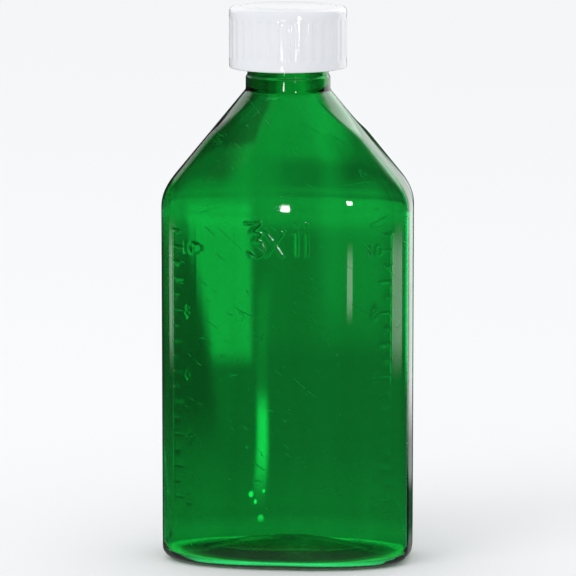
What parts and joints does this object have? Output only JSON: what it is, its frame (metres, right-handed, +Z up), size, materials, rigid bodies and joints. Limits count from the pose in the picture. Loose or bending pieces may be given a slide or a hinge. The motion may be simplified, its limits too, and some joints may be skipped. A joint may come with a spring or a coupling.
{
  "type": "prescription bottle with push-and-turn cap",
  "caption": "Flattened oval medicine bottle with sloping shoulders and a screw neck, closed by a fluted cap that has to be pressed down to turn.",
  "frame": {"origin": "centre of the base, at the height of the surface the bottle stands on", "axes": "+Z up along the neck, +X along the wide side of the oval body, -Y towards the front panel"},
  "size_m": [0.077, 0.047, 0.1712],
  "materials": {
    "green_pet": "clear green PET, glossy, see-through",
    "liner_foam": "white foamed polyethylene",
    "inner_cap_plastic": "natural polypropylene, satin",
    "spring_plastic": "natural polypropylene, satin",
    "white_cap_plastic": "white polypropylene, satin"
  },
  "bodies": {
    "bottle": {"bottle": "green_pet"},
    "liner": {"liner": "liner_foam"},
    "inner_cap": {"inner_cap": "inner_cap_plastic"},
    "spring": {"spring_disc": "spring_plastic"},
    "outer_cap": {"outer_cap": "white_cap_plastic"}
  },
  "joints": [
    {"name": "closure_lift", "type": "slide", "parent": "bottle", "child": "liner", "axis": [0, 0, 1], "range_m": [0, 0.017]},
    {"name": "closure_turn", "type": "hinge", "parent": "liner", "child": "inner_cap", "pos_m": [0, 0, 0.1675], "axis": [0, 0, 1], "range_deg": [0, 1440]},
    {"name": "cap_slip", "type": "hinge", "parent": "inner_cap", "child": "spring", "pos_m": [0, 0, 0.1675], "axis": [0, 0, 1], "continuous": true},
    {"name": "push_down", "type": "slide", "parent": "spring", "child": "outer_cap", "axis": [0, 0, -1], "range_m": [0, 0.0012], "stiffness_N_per_m": 600, "springref_m": -0.001, "deforming": ["spring_disc"]}
  ],
  "couplings": [
    {"joint": "closure_lift", "follows": "closure_turn", "m_per_rad": 0.00067376}
  ]
}
